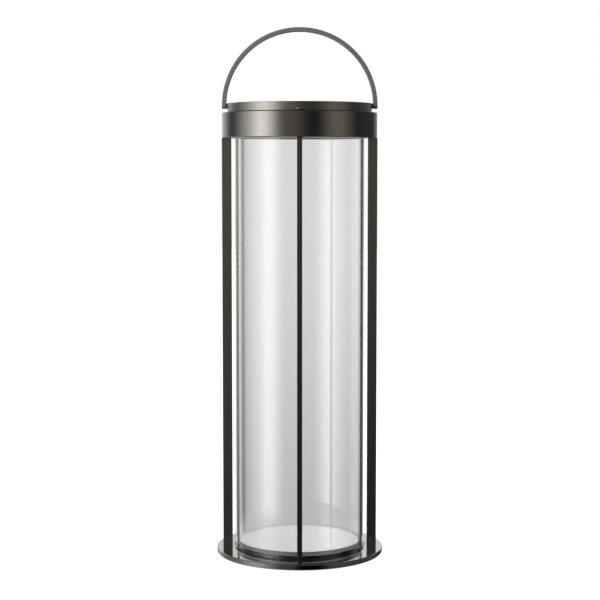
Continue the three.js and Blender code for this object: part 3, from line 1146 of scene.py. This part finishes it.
TABLE_EDGE = (-13.4, -12.3)
WARM = "#fff5e6"
LIGHTS = (
    Light(-58, 0, 60, 34, 2.2, 0.2, TABLE_EDGE),  # key, on the left
    Light(-58, 0, 22, 38, 1.25, 0.1, TABLE_EDGE),  # its hot middle
    Light(-58, 0, 40, 36, 0, 0.7, (-12, 0)),  # brighter towards the table
    Light(-115, 32, 12, 40, 0.08, 0.5, TABLE_EDGE),  # table and wall on the left
    Light(-152, 10, 10, 20, 0.55, 0.25),  # wall behind, on the left
    Light(-20, 8, 20, 13, 0, 0.18, (-13, -2)),  # lower wall near the camera
    Light(-16, 6, 20, 28, 0.28, 0, (-15, 4), WARM),  # glow near the camera
    Light(57, 2, 32, 38, 0.47, 0.25, colour=WARM),  # fill, on the right
    Light(112, 6, 20, 12, 0.03, 0.03),  # wall on the right
    Light(106, 18, 20, 25, 0, 0.16, TABLE_EDGE),  # table on the right
    Light(180, 14, 30, 30, 0.4, 0.2),  # wall behind
    Light(180, 30, 55, 55, 0.85, 0, (1, 12)),  # upper part of the wall behind
    Light(166, 11, 20, 5, 0.15, 0, (3, 9)),  # brighter towards its right
)
ROOM = 0.05  # what is left where no light is
WALL_TOP = (18, 38)  # degrees, over which the lights end
OVERHEAD = (12, 45)  # degrees, over which the ceiling begins
CEILING = 0.25
BACKDROP_FOOT = (-19, -1)  # degrees, over which the backdrop behind the glass grows lighter
BACKDROP = (0.47, 0.785)  # its brightness there
BACKDROP_CHANGES = (  # as parts of the backdrop's own brightness
    Light(-170.8, 0.8, 1.8, 1.5, -0.42, -0.42),  # dark card at its left edge
    Light(-150, 15, 5, 30, 0.6, 0.6),  # brighter beyond the card
    Light(160, 10, 30, 7, 0.45, 0.45),  # brighter towards its right edge
)
SOFT_ENDS = {"interpolation_type": "SMOOTHSTEP"}
FLOOR_RADIUS = 6
FLOOR_THICKNESS = 20 * MM


def lit_by(add, lights, bearing, rise, start):
    """Adds lights up, from what there is without them, as colours."""
    total = start
    for light in lights:
        offset = add("Math", {0: bearing, 1: light.bearing}, operation="SUBTRACT")[0]
        aside = add("Math", {0: offset, 1: 180, 2: -180}, operation="WRAP")[0]
        left_end = ramp(aside, -light.flat - light.fade_left, -light.flat, 0, 1)
        right_end = ramp(aside, light.flat, light.flat + light.fade_right, 1, 0)
        climb = ramp(rise, *light.rise, light.low, light.strength)
        left, right, height = (add("MapRange", r, **SOFT_ENDS)[0] for r in (left_end, right_end, climb))
        width = add("Math", {0: left, 1: right}, operation="MULTIPLY")[0]
        level = add("Math", {0: width, 1: height}, operation="MULTIPLY")[0]
        sum_of = {0: level, 1: linear(light.colour)[:3], 2: total}
        total = add("VectorMath", sum_of, operation="MULTIPLY_ADD")[0]
    return total


def studio_world(strength):
    """Soft upright lights in a dark room for reflections, a pale backdrop behind glass, white to the eye."""
    world = bpy.data.worlds.new("studio")
    bpy.context.scene.world = world
    world.use_nodes = True
    world.node_tree.nodes.clear()
    add = partial(add_node, world.node_tree)
    axes = add("SeparateXYZ", {"Vector": add("TexCoord")["Generated"]})
    forward = add("Math", {0: axes["Y"], 1: -1}, operation="MULTIPLY")[0]
    turn = add("Math", {0: axes["X"], 1: forward}, operation="ARCTAN2")[0]
    climb = add("Math", {0: axes["Z"]}, operation="ARCSINE")[0]
    bearing, rise = (add("Math", {0: angle}, operation="DEGREES")[0] for angle in (turn, climb))

    ramps = (
        ramp(rise, *WALL_FOOT, ROOM * 0.1, ROOM),
        ramp(rise, *WALL_TOP, 1, 0),
        ramp(rise, *OVERHEAD, 0, CEILING),
        ramp(rise, *BACKDROP_FOOT, *BACKDROP),
    )
    room, below_top, ceiling, backdrop = (add("MapRange", r, **SOFT_ENDS)[0] for r in ramps)
    walls = lit_by(add, LIGHTS, bearing, rise, room)
    light_sum = {0: walls, 1: below_top, 2: ceiling}
    reflected = add("VectorMath", light_sum, operation="MULTIPLY_ADD")[0]
    changes = lit_by(add, BACKDROP_CHANGES, bearing, rise, (1, 1, 1))
    through = add("VectorMath", {0: backdrop, 1: changes}, operation="MULTIPLY")[0]

    path = add("LightPath")
    unreflected = add("Math", {0: path["Glossy Depth"], 1: 0.5}, operation="LESS_THAN")[0]
    straight = add("Math", {0: path["Is Transmission Ray"], 1: unreflected}, operation="MULTIPLY")[0]
    seen = {"Factor": straight, "A": reflected, "B": through}
    light_seen = add("Mix", seen, data_type="RGBA")["Result"]
    to_eye = {"Factor": path["Is Camera Ray"], "A": light_seen, "B": (1, 1, 1, 1)}
    colour = add("Mix", to_eye, data_type="RGBA")["Result"]
    background = add("Background", {"Color": colour, "Strength": strength})[0]
    add("OutputWorld", {"Surface": background})


class LANTERN_OT_studio(bpy.types.Operator):
    """Make the pale floor, the soft light and the camera"""

    bl_idname = "lantern.studio"
    bl_label = "Studio"

    def execute(self, context):
        scene = context.scene
        studio = scene.lantern_studio
        scene.view_settings.view_transform = "Standard"
        studio_world(studio.light)

        floor_mesh = rod("studio_floor", FLOOR_RADIUS, -FLOOR_THICKNESS, 0, RING_STEPS)
        floor = place_object("studio_floor", floor_mesh)
        floor.data.materials.append(painted_floor(scene.lantern_finishes, studio.floor_glow))
        floor.visible_glossy = False
        floor.visible_transmission = False

        camera_data = bpy.data.cameras.new("camera")
        camera_data.lens = studio.focal_length
        camera_data.clip_end = 2 * FLOOR_RADIUS
        camera = place_object("camera", camera_data)
        camera.location = (studio.camera_aside, -studio.camera_distance, studio.camera_height)
        sight = Vector((studio.camera_aside, 0, studio.aim_height)) - camera.location
        camera.rotation_euler = sight.to_track_quat("-Z", "Y").to_euler()
        scene.camera = camera
        return {"FINISHED"}


# ---- panel and registration ----

MAKERS = (
    LANTERN_OT_studio,
    LANTERN_OT_base,
    LANTERN_OT_platform,
    LANTERN_OT_feet,
    LANTERN_OT_uprights,
    LANTERN_OT_band,
    LANTERN_OT_collar,
    LANTERN_OT_seals,
    LANTERN_OT_tube,
    LANTERN_OT_glass_plate,
    LANTERN_OT_bail,
    LANTERN_OT_pivots,
    LANTERN_OT_rest_studs,
    LANTERN_OT_screws,
)


class LANTERN_PT_workshop(bpy.types.Panel):
    """Lists the settings and the pieces that can be made"""

    bl_idname = "LANTERN_PT_workshop"
    bl_label = "Candle Lantern"
    bl_space_type = "VIEW_3D"
    bl_region_type = "UI"
    bl_category = "Lantern"

    def draw(self, context):
        scene = context.scene
        for group in (scene.lantern_sizes, scene.lantern_finishes, scene.lantern_studio):
            settings = self.layout.box()
            for name in group.__annotations__:
                settings.prop(group, name)
        pieces = self.layout.column()
        for maker in MAKERS:
            pieces.operator(maker.bl_idname)


GROUPS = {
    "lantern_sizes": LanternSizes,
    "lantern_finishes": LanternFinishes,
    "lantern_studio": LanternStudio,
}
CLASSES = (*GROUPS.values(), *MAKERS, LANTERN_PT_workshop)


def register():
    for cls in CLASSES:
        bpy.utils.register_class(cls)
    for name, group in GROUPS.items():
        setattr(bpy.types.Scene, name, PointerProperty(type=group))


def unregister():
    for name in GROUPS:
        delattr(bpy.types.Scene, name)
    for cls in reversed(CLASSES):
        bpy.utils.unregister_class(cls)


def main():
    """Makes the whole lantern in its studio."""
    register()
    for maker in MAKERS:
        family, name = maker.bl_idname.split(".")
        getattr(getattr(bpy.ops, family), name)()


if __name__ == "__main__":
    main()
